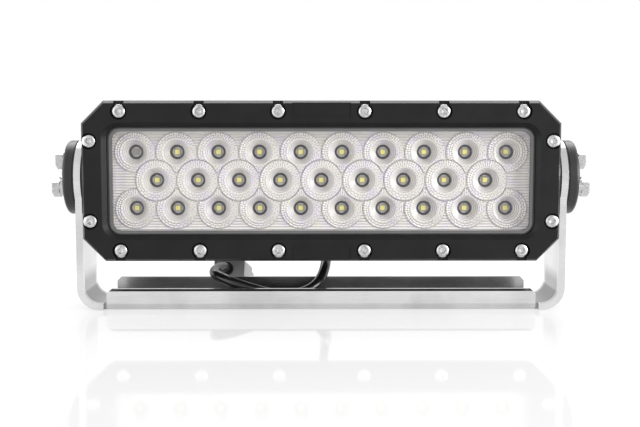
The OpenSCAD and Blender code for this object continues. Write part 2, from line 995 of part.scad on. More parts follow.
// Ring of low-friction plastic between the arm and its neighbour
module friction_washer(side, x0, x1, r) {
    color([0.2, 0.2, 0.2])
        on_side(side)
            difference() {
                rod_x([0, 0], r, x0, x1);
                rod_x([0, 0], spigot_d / 2 + 0.2, x0 - 1, x1 + 1);
            }
}

module outer_friction_washer(side) {
    friction_washer(side, arm_x + washer_gap, disc_x0, disc_d / 2 - 0.6);
}

module inner_friction_washer(side) {
    friction_washer(side, boss_x, arm_x - plate_t - washer_gap, boss_r - 0.6);
}

// ---------- nodes ----------

bracket();
cable();
connector_body();
connector_cable_seal();
connector_interface_seal();
connector_wedge();
connector_terminals();
housing();
bezel();
bezel_screws();
lens_gasket();
lens_cover();
housing_seal();
optic_panel();
led_board();
led_packages();
led_chips();
led_board_screws();
thermal_pad();
driver_board();
driver_standoffs();
driver_screws();
driver_inductors();
driver_capacitors();
driver_transistors();
driver_terminal();
power_leads();
board_leads();
lead_grommet();
rear_cover();
rear_cover_gasket();
rear_cover_screws();
gland_body();
gland_locknut();
gland_seal();
gland_nut();
gland_boot();
cable_inner_end();
vent_plug();
pivot_disc(-1);  // pivot_disc_left
pivot_disc(1);  // pivot_disc_right
pivot_bolts(-1);  // pivot_bolts_left
pivot_bolts(1);  // pivot_bolts_right
spring_washers(-1);  // spring_washers_left
spring_washers(1);  // spring_washers_right
flat_washers(-1);  // flat_washers_left
flat_washers(1);  // flat_washers_right
outer_friction_washer(-1);  // outer_friction_washer_left
outer_friction_washer(1);  // outer_friction_washer_right
inner_friction_washer(-1);  // inner_friction_washer_left
inner_friction_washer(1);  // inner_friction_washer_right
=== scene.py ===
"""LED light bar on a U bracket: the looks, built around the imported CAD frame, in metres."""
import math

import bmesh
import bpy
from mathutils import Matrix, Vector


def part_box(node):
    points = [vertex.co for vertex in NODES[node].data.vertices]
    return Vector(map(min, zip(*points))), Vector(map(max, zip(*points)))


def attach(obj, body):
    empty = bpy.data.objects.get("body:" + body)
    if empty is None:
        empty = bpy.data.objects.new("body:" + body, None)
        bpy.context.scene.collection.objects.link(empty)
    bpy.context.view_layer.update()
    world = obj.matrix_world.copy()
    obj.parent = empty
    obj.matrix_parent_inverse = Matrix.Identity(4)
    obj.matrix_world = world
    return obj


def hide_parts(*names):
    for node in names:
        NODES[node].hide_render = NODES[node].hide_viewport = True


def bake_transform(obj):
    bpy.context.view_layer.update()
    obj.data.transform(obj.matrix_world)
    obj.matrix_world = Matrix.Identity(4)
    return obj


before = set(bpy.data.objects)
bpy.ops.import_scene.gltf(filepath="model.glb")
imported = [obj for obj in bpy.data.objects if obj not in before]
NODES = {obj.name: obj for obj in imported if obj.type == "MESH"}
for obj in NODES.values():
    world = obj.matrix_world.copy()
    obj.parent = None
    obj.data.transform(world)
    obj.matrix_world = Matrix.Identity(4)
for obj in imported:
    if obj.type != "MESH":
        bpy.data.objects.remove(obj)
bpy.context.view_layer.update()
MM = 0.001
HEAD_Z = sum(corner.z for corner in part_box("bezel")) / 2
PITCH = 30.7 * MM
ROW_PITCH = 21 * MM
LONG_ROW = 10


def link(name, data):
    """Adds an object made from data to the scene."""
    made = bpy.data.objects.new(name, data)
    bpy.context.scene.collection.objects.link(made)
    return made


# ---------- camera ----------

CAMERA_LENS = 56.42
CAMERA_PLACE = (-6.05 * MM, -768.4 * MM, 138.2 * MM)
CAMERA_DOWN = 5.01
CAMERA_TURN = -0.389


def make_camera():
    """Camera at the front, slightly above the bezel and looking down a little."""
    data = bpy.data.cameras.new("camera")
    data.lens = CAMERA_LENS
    data.sensor_width = 36
    data.clip_start = 0.02
    data.clip_end = 50
    camera = link("camera", data)
    camera.location = CAMERA_PLACE
    camera.rotation_euler = (math.radians(90 - CAMERA_DOWN), 0, math.radians(CAMERA_TURN))
    bpy.context.scene.camera = camera


make_camera()


# ---------- mesh helpers ----------

def mesh_object(name, bm):
    """Turns a bmesh into an object in the scene."""
    mesh = bpy.data.meshes.new(name)
    bm.to_mesh(mesh)
    bm.free()
    return link(name, mesh)


def new_piece(name, bm, body, materials, replaced=()):
    """Turns a bmesh into a piece that rides on a body and stands for the CAD nodes given."""
    bmesh.ops.recalc_face_normals(bm, faces=bm.faces)
    piece = mesh_object(name, bm)
    for material in materials:
        piece.data.materials.append(material)
    if body:
        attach(piece, body)
    if replaced:
        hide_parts(*replaced)
    return piece


def bridge(bm, ring_a, ring_b, material=0, smooth=True):
    """Quads between two closed rings of the same length; points shared by both give triangles."""
    count = len(ring_a)
    for i in range(count):
        j = (i + 1) % count
        corners = []
        for vert in (ring_a[i], ring_a[j], ring_b[j], ring_b[i]):
            if vert not in corners:
                corners.append(vert)
        if len(corners) > 2:
            face = bm.faces.new(corners)
            face.material_index = material
            face.smooth = smooth


def cap_ends(bm, first, last):
    """Closes both ends of a run of rings."""
    bm.faces.new(first)
    bm.faces.new(list(reversed(last)))


def round_angles(count):
    return [2 * math.pi * k / count for k in range(count)]


def smooth_route(points, steps):
    """Catmull-Rom curve through the points, with steps pieces between neighbours."""
    points = [Vector(p) for p in points]
    padded = [2 * points[0] - points[1], *points, 2 * points[-1] - points[-2]]
    curve = []
    for i in range(len(points) - 1):
        a, b, c, d = padded[i:i + 4]
        for k in range(steps):
            t = k / steps
            curve.append(0.5 * (2 * b + (c - a) * t + (2 * a - 5 * b + 4 * c - d) * t * t
                                + (3 * b - a - 3 * c + d) * t ** 3))
    return curve + [points[-1]]


def tube(points, radius, sides):
    """Closed round tube along points, its rings turned as little as possible."""
    bm = bmesh.new()
    tangent = (points[1] - points[0]).normalized()
    side = tangent.orthogonal().normalized()
    rings = []
    for i, point in enumerate(points):
        ahead = points[min(i + 1, len(points) - 1)] - points[max(i - 1, 0)]
        tangent = ahead.normalized()
        side = (side - tangent * side.dot(tangent)).normalized()
        other = tangent.cross(side)
        rings.append([
            bm.verts.new(point + radius * (math.cos(a) * side + math.sin(a) * other))
            for a in round_angles(sides)
        ])
    for ring_a, ring_b in zip(rings, rings[1:]):
        bridge(bm, ring_a, ring_b)
    cap_ends(bm, rings[0], rings[-1])
    return bm


# ---------- materials ----------

# A Mix node's colour sockets
MIX_FIRST, MIX_SECOND, MIX_RESULT = 6, 7, 2


def feed(tree, socket, value):
    """Links a socket to another one, or sets its value."""
    if isinstance(value, bpy.types.NodeSocket):
        tree.links.new(value, socket)
    else:
        socket.default_value = value


def math_node(tree, operation, *values):
    made = tree.nodes.new("ShaderNodeMath")
    made.operation = operation
    for socket, value in zip(made.inputs, values):
        feed(tree, socket, value)
    return made.outputs["Value"]


class Look:
    """A Principled material and short calls to add nodes to it."""

    def __init__(self, name, **sockets):
        self.mat = bpy.data.materials.new(name)
        self.mat.use_nodes = True
        self.tree = self.mat.node_tree
        self.bsdf = self.tree.nodes["Principled BSDF"]
        for key, value in sockets.items():
            self.bsdf.inputs[key.replace("_", " ")].default_value = value

    def node(self, kind, **sockets):
        made = self.tree.nodes.new("ShaderNode" + kind)
        for key, value in sockets.items():
            feed(self.tree, made.inputs[key.replace("_", " ")], value)
        return made

    def calculate(self, operation, *values):
        return math_node(self.tree, operation, *values)

    def coords(self):
        return self.node("TexCoord").outputs["Object"]

    def place(self, scale):
        """Object coordinates stretched by scale along each axis."""
        return self.node("Mapping", Vector=self.coords(), Scale=scale).outputs["Vector"]

    def axes(self):
        """Object coordinates as separate X, Y and Z."""
        return self.node("SeparateXYZ", Vector=self.coords()).outputs

    def distance(self, point):
        """Distance from a point, in object coordinates."""
        made = self.node("VectorMath", Vector=self.coords())
        made.operation = "DISTANCE"
        made.inputs[1].default_value = point
        return made.outputs["Value"]

    def noise(self, scale, detail=3.0, roughness=0.5, stretch=(1, 1, 1)):
        made = self.node("TexNoise", Vector=self.place(stretch), Scale=scale, Detail=detail,
                         Roughness=roughness)
        return made.outputs["Fac"]

    def ramp(self, factor, *stops):
        made = self.node("ValToRGB", Fac=factor)
        elements = made.color_ramp.elements
        while len(elements) < len(stops):
            elements.new(0.5)
        for element, (place, colour) in zip(elements, stops):
            element.position = place
            element.color = (*colour, 1)
        return made.outputs["Color"]

    def mix(self, factor, first, second, blend="MIX"):
        """Mixes two colours, each a socket or a plain colour."""
        made = self.node("Mix")
        made.data_type = "RGBA"
        made.blend_type = blend
        feed(self.tree, made.inputs["Factor"], factor)
        feed(self.tree, made.inputs[MIX_FIRST], first)
        feed(self.tree, made.inputs[MIX_SECOND], second)
        return made.outputs[MIX_RESULT]

    def range(self, factor, low, high, start=0.0, stop=1.0, smooth=False):
        """Maps factor from between start and stop to between low and high."""
        made = self.node("MapRange", Value=factor, From_Min=start, From_Max=stop, To_Min=low, To_Max=high)
        if smooth:
            made.interpolation_type = "SMOOTHSTEP"
        return made.outputs["Result"]

    def bump(self, height, distance):
        made = self.node("Bump", Height=height, Distance=distance)
        feed(self.tree, self.bsdf.inputs["Normal"], made.outputs["Normal"])

    def set(self, **sockets):
        for key, value in sockets.items():
            feed(self.tree, self.bsdf.inputs[key.replace("_", " ")], value)


def grey(value):
    return (value, value, value)


def tint(colour, factor):
    return tuple(c * factor for c in colour)


def coated(name, colour, roughness, grain=1500, bump=0.04 * MM, spread=0.25, specular=0.5):
    """Powder coat or moulded plastic: fine grain, a little uneven in colour and gloss."""
    look = Look(name, Specular_IOR_Level=specular)
    grain_noise = look.noise(grain, detail=2)
    patches = look.noise(60, detail=4)
    look.set(
        Base_Color=look.ramp(patches, (0.3, tint(colour, 1 - spread)), (0.7, tint(colour, 1 + spread))),
        Roughness=look.range(patches, roughness - 0.05, roughness + 0.05),
    )
    look.bump(grain_noise, bump)
    return look.mat


def brushed(name, colour, roughness, along, grain=400, bump=0.005 * MM, shade=None):
    """Brushed metal: long fine scratches along one axis."""
    look = Look(name, Metallic=1.0)
    stretch = [6.0, 6.0, 6.0]
    stretch["xyz".index(along)] = 0.12
    scratches = look.noise(grain, detail=4, roughness=0.7, stretch=stretch)
    patches = look.noise(25, detail=3)
    strokes = look.ramp(scratches, (0.25, tint(colour, 0.92)), (0.75, tint(colour, 1.06)))
    clouds = look.ramp(patches, (0.38, grey(0.84)), (0.62, grey(1.0)))
    clouded = look.mix(1.0, strokes, clouds, blend="MULTIPLY")
    look.set(
        Base_Color=shade(look, clouded) if shade else clouded,
        Roughness=look.range(patches, roughness - 0.04, roughness + 0.05),
    )
    look.bump(scratches, bump)
    return look.mat


# The painted shade fades out between these distances from the middle, and between these heights
CHANNEL_EDGE = (18.5 * MM, 19.6 * MM)
CHANNEL_TOP = (21 * MM, 30 * MM)
CHANNEL_SHADE_GREY = 0.30


def paint_channel_shade(look, colour):
    """Paints shade on the inside of the bracket's channel, between its two flanges."""
    axes = look.axes()
    inside = look.range(look.calculate("ABSOLUTE", axes["Y"]), 1.0, 0.0, *CHANNEL_EDGE)
    low = look.range(axes["Z"], 1.0, 0.0, *CHANNEL_TOP)
    both = look.calculate("MULTIPLY", inside, low)
    # painted shade: the base colour turns grey inside the channel
    return look.mix(both, colour, (*grey(CHANNEL_SHADE_GREY), 1))


def machined(name, colour, roughness, grain=900, spread=0.1):
    """Turned or rolled small metal parts: fine random marks."""
    look = Look(name, Metallic=1.0)
    marks = look.noise(grain, detail=4, roughness=0.6)
    look.set(
        Base_Color=look.ramp(marks, (0.3, tint(colour, 1 - spread)), (0.7, tint(colour, 1 + spread))),
        Roughness=look.range(marks, roughness - 0.06, roughness + 0.08),
    )
    look.bump(marks, 0.02 * MM)
    return look.mat


def glossy_jacket():
    """Smooth black cable jacket with faint drawing marks."""
    look = Look("cable_jacket", Specular_IOR_Level=0.6)
    marks = look.noise(500, detail=3)
    look.set(
        Base_Color=look.ramp(marks, (0.3, grey(0.006)), (0.7, grey(0.012))),
        Roughness=look.range(marks, 0.18, 0.3),
    )
    look.bump(marks, 0.03 * MM)
    return look.mat


def lens_pane():
    """Clear pane that mirrors a little and lets the lamps show."""
    look = Look("lens_glass", Metallic=1.0, Alpha=0.035, Roughness=0.03)
    look.set(Base_Color=(0.96, 0.97, 1.0, 1))
    return look.mat


WINDOW_HALF_W = 153 * MM
WINDOW_HALF_H = 36.4 * MM
EDGE_LIGHT_WIDTH = 7 * MM
EDGE_LIGHT_COLOUR = (1.0, 0.97, 0.95, 1)


def paint_edge_light(look, strength):
    """Painted light: the clear plastic glows along the window's edges."""
    axes = look.axes()
    glows = []
    for axis, middle, half in (("X", 0, WINDOW_HALF_W), ("Z", HEAD_Z, WINDOW_HALF_H)):
        distance = look.calculate("ABSOLUTE", look.calculate("SUBTRACT", axes[axis], middle))
        glows.append(look.range(distance, 0.0, 1.0, half - EDGE_LIGHT_WIDTH, half, smooth=True))
    strongest = look.calculate("MAXIMUM", *glows)
    look.set(Emission_Strength=look.range(strongest, 0.0, strength), Emission_Color=EDGE_LIGHT_COLOUR)


def optic_plastic():
    """Clear moulded optics: pale, glossy, with faint lilac, green and straw tints."""
    look = Look("optic_clear", Roughness=0.3, Coat_Weight=0.5, Coat_Roughness=0.08)
    patches = look.noise(90, detail=2, roughness=0.6)
    look.set(Base_Color=look.ramp(
        patches, (0.30, (0.63, 0.58, 0.64)), (0.45, (0.64, 0.62, 0.61)),
        (0.56, (0.66, 0.63, 0.57)), (0.70, (0.60, 0.57, 0.61))))
    # painted light along the window's edges
    paint_edge_light(look, 0.16)
    look.bump(look.noise(700, detail=2), 0.03 * MM)
    return look.mat


def optic_shade():
    """Darker copy of the clear plastic, painted shade on the ring grooves and facet sides."""
    look = Look("optic_shade", Roughness=0.3, Coat_Weight=0.3, Coat_Roughness=0.1)
    patches = look.noise(90, detail=2, roughness=0.6)
    look.set(Base_Color=look.ramp(patches, (0.35, (0.41, 0.37, 0.42)), (0.65, (0.44, 0.42, 0.38))))
    # weaker painted light along the window's edges
    paint_edge_light(look, 0.09)
    return look.mat


def optic_rim():
    """Near-black ring at the bottom of each optic's cone."""
    look = Look("optic_rim", Roughness=0.25)
    marks = look.noise(600)
    look.set(Base_Color=look.ramp(marks, (0.3, (0.005, 0.004, 0.006)), (0.7, (0.020, 0.017, 0.024))))
    return look.mat


def optic_core():
    """Dim wall of the hole round each LED."""
    look = Look("optic_core", Roughness=0.3, Coat_Weight=0.5)
    marks = look.noise(400)
    look.set(Base_Color=look.ramp(marks, (0.3, (0.24, 0.22, 0.24)), (0.7, (0.36, 0.33, 0.33))))
    return look.mat


DULL_LAMP = (-(LONG_ROW - 1) / 2 * PITCH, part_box("led_chips")[0].y, HEAD_Z + ROW_PITCH)
DULL_REACH = 10 * MM


def phosphor():
    """Yellow phosphor, dull grey on the lamp in the upper left corner."""
    look = Look("led_phosphor", Roughness=0.5)
    grain = look.noise(900)
    yellow = look.ramp(grain, (0.3, (0.86, 0.78, 0.16)), (0.7, (0.95, 0.90, 0.34)))
    dull = look.calculate("LESS_THAN", look.distance(DULL_LAMP), DULL_REACH)
    look.set(Base_Color=look.mix(dull, yellow, (*grey(0.34), 1)))
    look.bump(grain, 0.03 * MM)
    return look.mat


# brushed stainless with painted shade inside the bracket's channel
BRUSHED = brushed("brushed_stainless", grey(0.72), 0.2, "x", shade=paint_channel_shade)
BEZEL_COAT = coated("bezel_coat", grey(0.0055), 0.40, specular=0.24)
HOUSING_COAT = coated("housing_coat", grey(0.010), 0.45, specular=0.4)
DISC_COAT = coated("disc_coat", grey(0.012), 0.35)
SCREW_STEEL = machined("screw_stainless", grey(0.56), 0.24, grain=500, spread=0.3)
BOLT_STEEL = machined("bolt_steel", grey(0.52), 0.25, spread=0.25)
BLACK_RUBBER = coated("black_rubber", grey(0.012), 0.55, grain=900)
CONNECTOR_GREY = coated("connector_grey", grey(0.33), 0.38, grain=1200, spread=0.15)
ORANGE_RUBBER = coated("orange_rubber", (0.55, 0.13, 0.03), 0.5)
ORANGE_PLASTIC = coated("orange_plastic", (0.7, 0.2, 0.03), 0.4)
CONTACT_BRASS = machined("contact_brass", (0.78, 0.57, 0.25), 0.25)
GREY_SILICONE = coated("grey_silicone", grey(0.10), 0.5, spread=0.1)
SEAL_SILICONE = coated("seal_silicone", grey(0.03), 0.55, spread=0.1)
GLAND_NYLON = coated("gland_nylon", grey(0.016), 0.42, grain=1100)
WASHER_NYLON = coated("washer_nylon", grey(0.02), 0.5)
BOARD_WHITE = coated("board_white", (0.72, 0.72, 0.69), 0.4, spread=0.05)
LED_CERAMIC = coated("led_ceramic", (0.44, 0.39, 0.33), 0.4, spread=0.08)
THERMAL_GREY = coated("thermal_grey", (0.25, 0.29, 0.36), 0.7, spread=0.1)
BOARD_GREEN = coated("board_green", (0.02, 0.12, 0.04), 0.35, spread=0.15)
FERRITE = coated("ferrite", grey(0.05), 0.6)
CAPACITOR_SLEEVE = coated("capacitor_sleeve", (0.02, 0.025, 0.07), 0.3)
TERMINAL_GREEN = coated("terminal_green", (0.05, 0.28, 0.09), 0.45)
LEAD_RED = coated("lead_red", (0.45, 0.02, 0.02), 0.4)
LEAD_YELLOW = coated("lead_yellow", (0.6, 0.5, 0.03), 0.4)
LENS_GLASS = lens_pane()
OPTIC = optic_plastic()
OPTIC_SHADE = optic_shade()
OPTIC_RIM = optic_rim()
OPTIC_CORE = optic_core()
PHOSPHOR = phosphor()
JACKET = glossy_jacket()

NODE_LOOKS = {
    "bracket": BRUSHED, "housing": HOUSING_COAT, "bezel": BEZEL_COAT,
    "lens_gasket": GREY_SILICONE, "housing_seal": SEAL_SILICONE, "lens_cover": LENS_GLASS,
    "led_board": BOARD_WHITE, "led_packages": LED_CERAMIC, "led_chips": PHOSPHOR,
    "led_board_screws": SCREW_STEEL, "thermal_pad": THERMAL_GREY,
    "driver_board": BOARD_GREEN, "driver_standoffs": CONTACT_BRASS, "driver_screws": SCREW_STEEL,
    "driver_inductors": FERRITE, "driver_capacitors": CAPACITOR_SLEEVE,
    "driver_transistors": FERRITE, "driver_terminal": TERMINAL_GREEN,
    "power_leads": LEAD_RED, "board_leads": LEAD_YELLOW, "lead_grommet": BLACK_RUBBER,
    "rear_cover": HOUSING_COAT, "rear_cover_gasket": BLACK_RUBBER, "rear_cover_screws": SCREW_STEEL,
    "gland_body": GLAND_NYLON, "gland_locknut": BOLT_STEEL, "gland_seal": BLACK_RUBBER,
    "gland_nut": GLAND_NYLON, "gland_boot": BLACK_RUBBER, "cable_inner_end": JACKET,
    "vent_plug": GLAND_NYLON,
    "connector_body": CONNECTOR_GREY, "connector_cable_seal": BLACK_RUBBER,
    "connector_interface_seal": ORANGE_RUBBER, "connector_wedge": ORANGE_PLASTIC,
    "connector_terminals": CONTACT_BRASS,
}
SIDE_LOOKS = {
    "pivot_disc": DISC_COAT, "pivot_bolts": BOLT_STEEL, "spring_washers": BOLT_STEEL,
    "flat_washers": BOLT_STEEL, "outer_friction_washer": WASHER_NYLON,
    "inner_friction_washer": WASHER_NYLON,
}


def dress_nodes():
    """Gives every CAD node its material."""
    looks = dict(NODE_LOOKS)
    for name, look in SIDE_LOOKS.items():
        for side in ("left", "right"):
            looks[f"{name}_{side}"] = look
    for name, look in looks.items():
        mesh = NODES[name].data
        mesh.materials.clear()
        mesh.materials.append(look)


dress_nodes()


def soften(name, width, segments=2):
    """Rounds a CAD node's sharp edges slightly, without moving its points."""
    node = NODES[name]
    weld = node.modifiers.new("weld", "WELD")
    weld.merge_threshold = 0.002 * MM
    flat = node.modifiers.new("flat", "DECIMATE")
    flat.decimate_type = "DISSOLVE"
    flat.angle_limit = math.radians(0.6)
    bevel = node.modifiers.new("bevel", "BEVEL")
    bevel.width = width
    bevel.segments = segments
    bevel.limit_method = "ANGLE"
    bevel.angle_limit = math.radians(32)
    bevel.use_clamp_overlap = True
    bevel.miter_outer = "MITER_ARC"
    normal = node.modifiers.new("normal", "WEIGHTED_NORMAL")
    normal.keep_sharp = False
    normal.weight = 80


# ---------- supply cable ----------

CABLE_D = 8 * MM
# Centreline in millimetres, the same points as in part.scad
CABLE_ROUTE = [
    (0, 63.2, 80), (0, 72, 80), (1, 80.8, 76.9), (2.2, 87.4, 69.2), (3.3, 89.8, 59),
    (4.3, 87.2, 48.8), (5, 80, 41.2), (5.3, 69.8, 37.2), (5.3, 58, 35.6), (5.2, 46, 35),
    (5, 34.5, 34.3), (4.3, 24, 32.2), (3.6, 17, 29.2), (2.4, 10.5, 25.3), (0.2, 5, 20.9),
    (-3, 0.5, 16.8), (-7.8, -3, 13.4), (-14, -5.5, 10.8), (-22.5, -7.5, 9.3), (-31, -9, 9.2),
    (-40, -10.5, 10.8), (-49, -11.5, 13.3), (-59, -12, 16.4), (-67.2, -11.3, 19.2),
    (-74.3, -8, 21.6), (-79.8, -3.2, 23.4), (-82.7, 4, 24.8), (-82.2, 12, 25.7),
    (-79.4, 20, 26.1), (-76.9, 27, 25.4), (-76.2, 33, 23.5),
]


def make_cable():
    """Smooth jacketed cable from the boot to the connector."""
    path = smooth_route([Vector(p) * MM for p in CABLE_ROUTE], 4)
    cable = new_piece("supply_cable", tube(path, CABLE_D / 2, 24), None, [JACKET])
    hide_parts("cable")
    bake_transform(cable)


make_cable()


# ---------- optics ----------

OPTIC_R = PITCH / 2
OPTIC_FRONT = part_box("optic_panel")[0].y
OPTIC_PLATE_BACK = OPTIC_FRONT + 2.5 * MM
OPTIC_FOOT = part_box("led_board")[0].y - 0.1 * MM
CONE_R = 9.8 * MM
EDGE_W = 0.5 * MM
COLUMNS = 96
# Material slots of the optics; SHADE is the darker copy for painted shade
CLEAR, RIM, CORE, SHADE = range(4)


def row_of(count, z):
    return [Vector(((i - (count - 1) / 2) * PITCH, z)) for i in range(count)]


MIDDLE_ROW = row_of(LONG_ROW - 1, 0)
OUTER_ROWS = row_of(LONG_ROW, ROW_PITCH) + row_of(LONG_ROW, -ROW_PITCH)


def reach_limits(centre, cutters):
    """Distance from centre to its optic's edge in each direction, cut short by other circles."""
    limits = []
    for angle in round_angles(COLUMNS):
        direction = Vector((math.cos(angle), math.sin(angle)))
        reach = OPTIC_R
        for other in cutters:
            gap = other - centre
            along = gap.dot(direction)
            inside = OPTIC_R ** 2 - gap.length_squared + along ** 2
            if along > 0 and inside > 0:
                reach = min(reach, along - math.sqrt(inside))
        limits.append(reach)
    return limits


def optic_ring(bm, centre, radii, depths):
    """Ring of points round an optic's centre, each at its own radius and depth."""
    return [
        bm.verts.new((centre.x + radius * math.cos(angle), depth,
                      HEAD_Z + centre.y + radius * math.sin(angle)))
        for angle, radius, depth in zip(round_angles(COLUMNS), radii, depths)
    ]


def even_row(radius, depth, material):
    return [radius] * COLUMNS, [depth] * COLUMNS, material


def cone_rows():
    """Rows of the lamp's hole and the stepped cone in front of it: (radii, depths, material)."""
    hole, rim = 3.7 * MM, 5.3 * MM
    rim_depth, steps = 7.3 * MM, 4
    tread, groove, lip = 0.42, 0.25 * MM, 0.1 * MM
    rows = [
        even_row(hole, OPTIC_FOOT, CORE),
        even_row(hole, OPTIC_FRONT + rim_depth + 1.2 * MM, CORE),
        even_row(hole + 0.25 * MM, OPTIC_FRONT + rim_depth, RIM),
        even_row(rim, OPTIC_FRONT + rim_depth - 0.3 * MM, RIM),
    ]
    for i in range(steps):
        share_in, share_out = i / steps, (i + 1) / steps
        inner = rim + (CONE_R - rim) * share_in
        outer = rim + (CONE_R - rim) * share_out
        depth = OPTIC_FRONT + rim_depth * (1 - share_out)
        # painted shade: each step's tread takes the darker plastic
        rows.append(even_row(inner + tread * (outer - inner), depth + groove, SHADE))
        rows.append(even_row(outer, depth - lip if i < steps - 1 else OPTIC_FRONT, CLEAR))
    return rows


def pillow_rows(limits):
    """Rows of the pillow facets outside the cone, flat where another optic cuts them short."""
    rings, height = 3, 0.6 * MM
    rows = []
    for i in range(1, 2 * rings + 1):
        nominal = CONE_R + (OPTIC_R - EDGE_W - CONE_R) * (i / (2 * rings))
        raised = (0.45, 1.0) if i % 2 else (0.0, 0.35)
        radii = [min(nominal, limit - EDGE_W) for limit in limits]
        depths = [
            OPTIC_FRONT if nominal > limit - EDGE_W else OPTIC_FRONT - height * raised[k % 2]
            for k, limit in enumerate(limits)
        ]
        rows.append((radii, depths, CLEAR))
    return rows


def back_rows(limits):
    """Rows of the optic's edge, the back of its plate and its foot on the LED board."""
    edge_drop, plate_r, plate_gap, foot_r = 0.7 * MM, 12.4 * MM, 0.3 * MM, 7.2 * MM
    plate_radii = [min(plate_r, limit - plate_gap) for limit in limits]
    return [
        # painted shade on the optic's edge row
        (limits, [OPTIC_FRONT + edge_drop] * COLUMNS, SHADE),
        (limits, [OPTIC_PLATE_BACK] * COLUMNS, CLEAR),
        (plate_radii, [OPTIC_PLATE_BACK] * COLUMNS, CLEAR),
        even_row(foot_r, OPTIC_FOOT, CLEAR),
    ]


def shade_facets(bm, turn):
    """Paints shade on facet sides in the ring made last: each fourth one, and each second in odd turns.
    """
    bm.faces.ensure_lookup_table()
    for k, face in enumerate(bm.faces[-COLUMNS:]):
        if (k + 2 * (turn // 2)) % 4 == 1 or (turn % 2 == 1 and k % 2 == 1):
            face.material_index = SHADE


def add_optic(bm, centre, limits):
    """One closed optic: stepped cone round the lamp, pillow facets outside it, solid behind."""
    cone, pillows = cone_rows(), pillow_rows(limits)
    rows = cone + pillows + back_rows(limits)
    rings = [optic_ring(bm, centre, radii, depths) for radii, depths, _ in rows]
    for i in range(1, len(rows)):
        bridge(bm, rings[i - 1], rings[i], rows[i][2], smooth=False)
        turn = i - len(cone)
        if 0 <= turn < len(pillows):
            shade_facets(bm, turn)
    bridge(bm, rings[-1], rings[0], CLEAR, smooth=False)


RIB_PITCH = 2.1 * MM
RIB_SHADE = 1


def rib_outline(half_h, count):
    """Side view of the ribbed plate, its crests toward the front: (depth, height)."""
    valley, crest = OPTIC_FRONT + 0.75 * MM, OPTIC_FRONT + 0.15 * MM
    outline = []
    for i in range(count):
        z = -half_h + 2 * half_h * i / count
        outline.append((crest, z))
        outline.append((valley, z + 0.72 * RIB_PITCH))
    return outline + [(crest, half_h), (OPTIC_PLATE_BACK, half_h), (OPTIC_PLATE_BACK, -half_h)]


def rib_plate():
    """Ribbed plate that shows between the round optics, before their places are cut out."""
    low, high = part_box("optic_panel")
    half_w, half_h = (high.x - low.x) / 2, (high.z - low.z) / 2
    count = round(2 * half_h / RIB_PITCH)
    outline = rib_outline(half_h, count)
    bm = bmesh.new()
    ends = [[bm.verts.new((x, y, HEAD_Z + z)) for y, z in outline] for x in (-half_w, half_w)]
    bridge(bm, ends[0], ends[1], smooth=False)
    bm.faces.ensure_lookup_table()
    # painted shade on every second face of the ribs
    for face in list(bm.faces)[1:2 * count:2]:
        face.material_index = RIB_SHADE
    cap_ends(bm, ends[0], ends[1])
    return new_piece("optic_ribs", bm, "light_head", [OPTIC, OPTIC_SHADE])


def apply_modifiers(piece):
    graph = bpy.context.evaluated_depsgraph_get()
    made = bpy.data.meshes.new_from_object(piece.evaluated_get(graph))
    piece.modifiers.clear()
    piece.data = made


def cut_circles(piece, centres):
    """Cuts round holes for the optics through a piece."""
    hole_r, clear = 0.998 * OPTIC_R, 3 * MM
    bm = bmesh.new()
    for centre in centres:
        rings = [optic_ring(bm, centre, [hole_r] * COLUMNS, [y] * COLUMNS)
                 for y in (OPTIC_FRONT - clear, OPTIC_PLATE_BACK + clear)]
        bridge(bm, *rings)
        cap_ends(bm, *rings)
    bmesh.ops.recalc_face_normals(bm, faces=bm.faces)
    cutter = mesh_object("cutter", bm)
    cut = piece.modifiers.new("cut", "BOOLEAN")
    cut.operation = "DIFFERENCE"
    cut.object = cutter
    cut.solver = "EXACT"
    apply_modifiers(piece)
    bpy.data.objects.remove(cutter)


def make_optics():
    """All the optics as one piece, and the ribbed plate between them."""
    weld = 0.001 * MM
    bm = bmesh.new()
    for centre in MIDDLE_ROW:
        add_optic(bm, centre, reach_limits(centre, []))
    for centre in OUTER_ROWS:
        add_optic(bm, centre, reach_limits(centre, MIDDLE_ROW))
    bmesh.ops.remove_doubles(bm, verts=bm.verts, dist=weld)
    bmesh.ops.dissolve_degenerate(bm, edges=bm.edges, dist=weld)
    new_piece("optic_array", bm, "light_head",
              [OPTIC, OPTIC_RIM, OPTIC_CORE, OPTIC_SHADE], replaced=["optic_panel"])
    ribs = rib_plate()
    for row in (MIDDLE_ROW, OUTER_ROWS[:LONG_ROW], OUTER_ROWS[LONG_ROW:]):
        cut_circles(ribs, row)


make_optics()


# ---------- bezel screws ----------

HEAD_COLUMNS = 48
SOCKET_FLATS = 4 * MM
POCKET_DEPTH = 3.6 * MM
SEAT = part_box("bezel")[0].y + POCKET_DEPTH
ROW_SCREW_X = (-147, -89, -31.5, 31.5, 89, 147)
ROW_SCREW_Z = 50.8
SIDE_SCREW_X = 169
SIDE_SCREW_Z = 29.3
SCREW_PLACES = [(x * MM, z * MM) for x in ROW_SCREW_X for z in (ROW_SCREW_Z, -ROW_SCREW_Z)]
SCREW_PLACES += [(x * MM, z * MM) for x in (-SIDE_SCREW_X, SIDE_SCREW_X)
                 for z in (SIDE_SCREW_Z, -SIDE_SCREW_Z)]
# Shank and domed head: radius and distance behind the seat, in millimetres
HEAD_OUTLINE = [
    (2.9, 14.0), (2.9, 0.0), (5.25, 0.0), (5.25, -1.5), (5.15, -1.95), (4.85, -2.4), (4.35, -2.8),
    (3.7, -3.08), (3.1, -3.22), (2.75, -3.27),
]
# Hexagon socket: share of the hexagon's radius and distance behind the seat in millimetres
SOCKET_OUTLINE = [(1.06, -3.27), (1.0, -3.05), (1.0, -1.3), (0.93, -1.15)]
SOCKET_FLOOR = -0.75 * MM
SMOOTH_ROWS = range(2, 9)


def hex_radius(angle, flats):
    """Distance from a hexagon's centre to its side at an angle."""
    within = (angle % (math.pi / 3)) - math.pi / 6
    return flats / 2 / math.cos(within)


